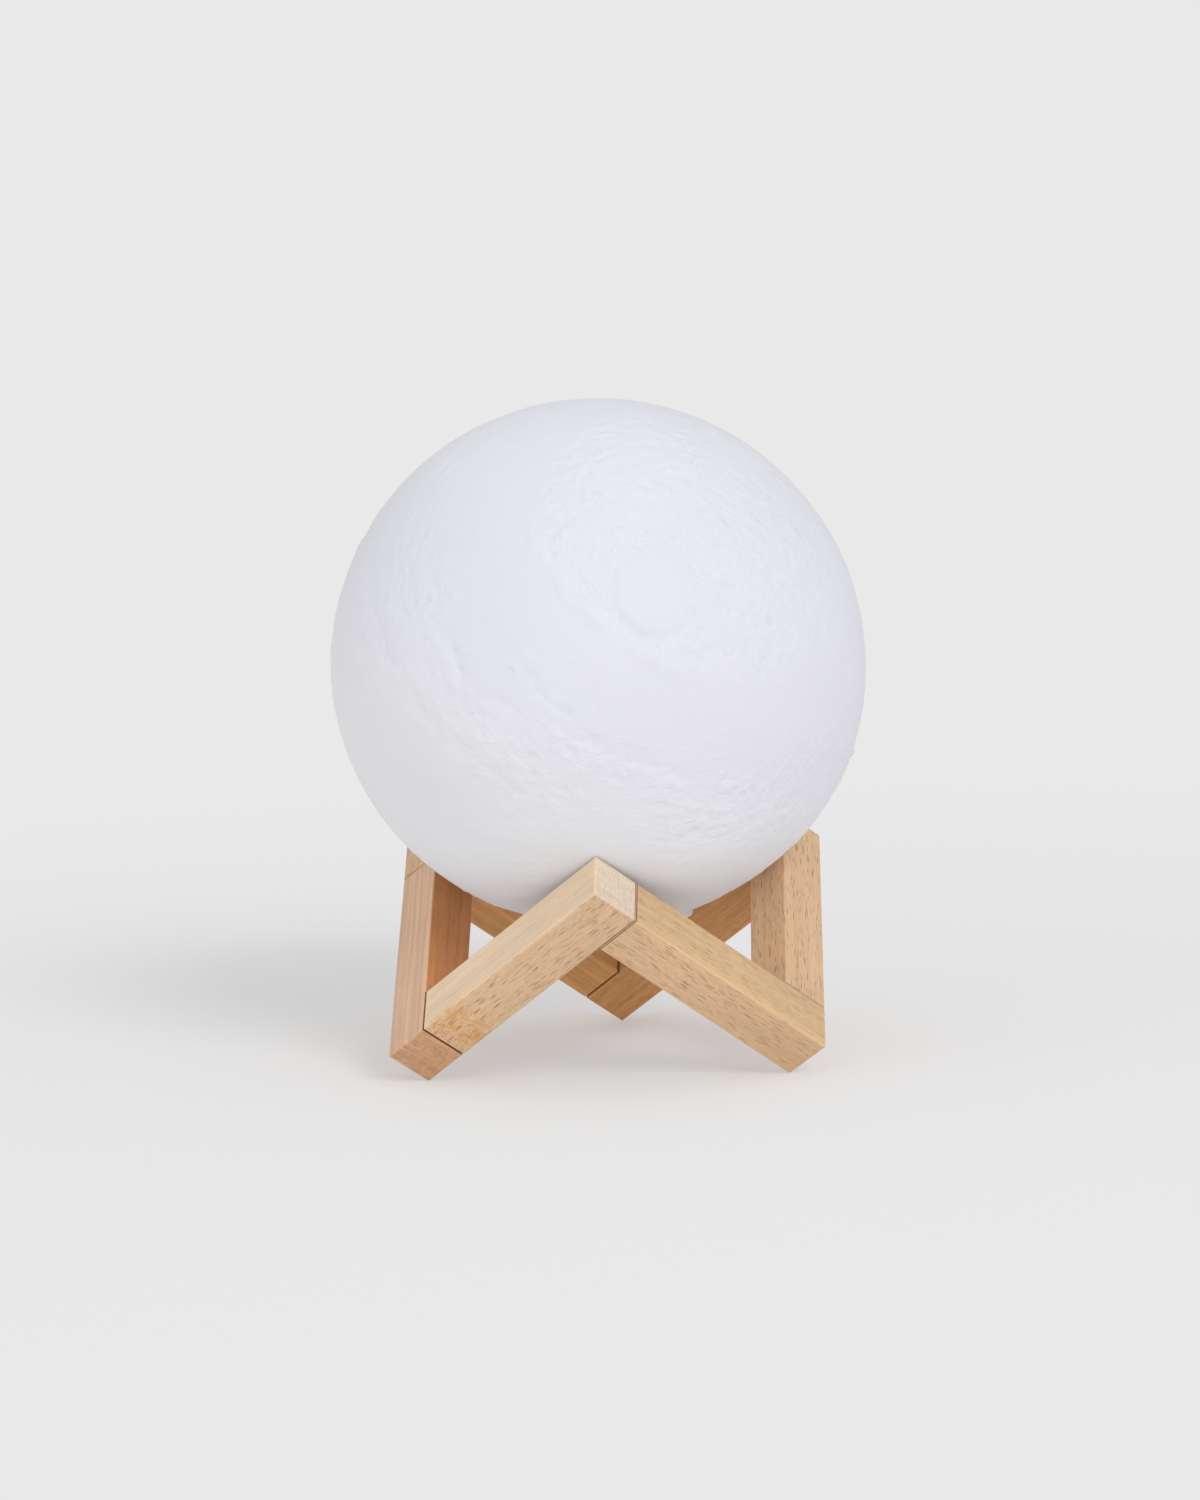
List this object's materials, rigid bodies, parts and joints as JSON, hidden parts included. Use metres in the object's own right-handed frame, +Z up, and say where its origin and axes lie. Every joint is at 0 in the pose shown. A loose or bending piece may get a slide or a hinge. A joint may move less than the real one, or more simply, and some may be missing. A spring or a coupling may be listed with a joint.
{
  "type": "moon lamp",
  "caption": "Rechargeable table lamp: a hollow cratered ball shade with a light unit in its base, resting on a wooden stand of square bars joined in a skew ring.",
  "frame": {"origin": "on the upright axis of the moon and the stand, at the floor the stand stands on", "axes": "+Z up along the axis, -Y the front in the picture, +X to the viewer's right"},
  "size_m": [0.15, 0.1501, 0.1891],
  "materials": {
    "beech": "bare beech, planed, with short dark flecks",
    "dowel_wood": "bare fluted dowel",
    "moon_white": "matt printed plastic with fine print lines and lunar relief",
    "base_white": "fine matt moulding",
    "ring_metal": "turned and brushed",
    "steel": "plated",
    "board_green": "solder mask",
    "board_white": "white solder mask on aluminium",
    "chip_black": "moulded package",
    "ceramic_tan": "ceramic body",
    "spring_brass": "bright wire",
    "cell_silver": "foil pouch",
    "foam_black": "foam",
    "lead_red": "insulation",
    "lead_black": "insulation",
    "light_yellow": "phosphor resin, unlit",
    "pipe_clear": "clear acrylic"
  },
  "bodies": {
    "stand": {"front_left_bar": "beech", "front_right_bar": "beech", "right_bar": "beech", "back_right_bar": "beech", "back_left_bar": "beech", "left_bar": "beech", "joint_dowels": "dowel_wood"},
    "moon": {"moon_shell": "moon_white", "lamp_housing": "base_white", "base_cover": "base_white", "touch_ring": "ring_metal", "touch_spring": "spring_brass", "cover_screws": "steel", "control_board": "board_green", "board_screws": "steel", "charge_socket": "steel", "socket_tongue": "chip_black", "button_switch": "chip_black", "control_chips": "chip_black", "board_capacitors": "ceramic_tan", "board_resistors": "chip_black", "power_inductor": "chip_black", "indicator_led": "light_yellow", "light_pipe": "pipe_clear", "battery_cell": "cell_silver", "battery_board": "board_green", "battery_pad": "foam_black", "battery_leads": "lead_red", "light_leads": "lead_black", "light_board": "board_white", "light_chip_set": "light_yellow", "light_screws": "steel"},
    "power_button": {"power_button": "base_white", "switch_plunger": "steel"}
  },
  "joints": [
    {"name": "moon_lift", "type": "slide", "parent": "stand", "child": "moon", "axis": [0, 0, 1], "range_m": [0, 0.06]},
    {"name": "power_press", "type": "slide", "parent": "moon", "child": "power_button", "axis": [0, 0, 1], "range_m": [0, 0.0005], "stiffness_N_per_m": 1500, "springref_m": -0.0003}
  ]
}
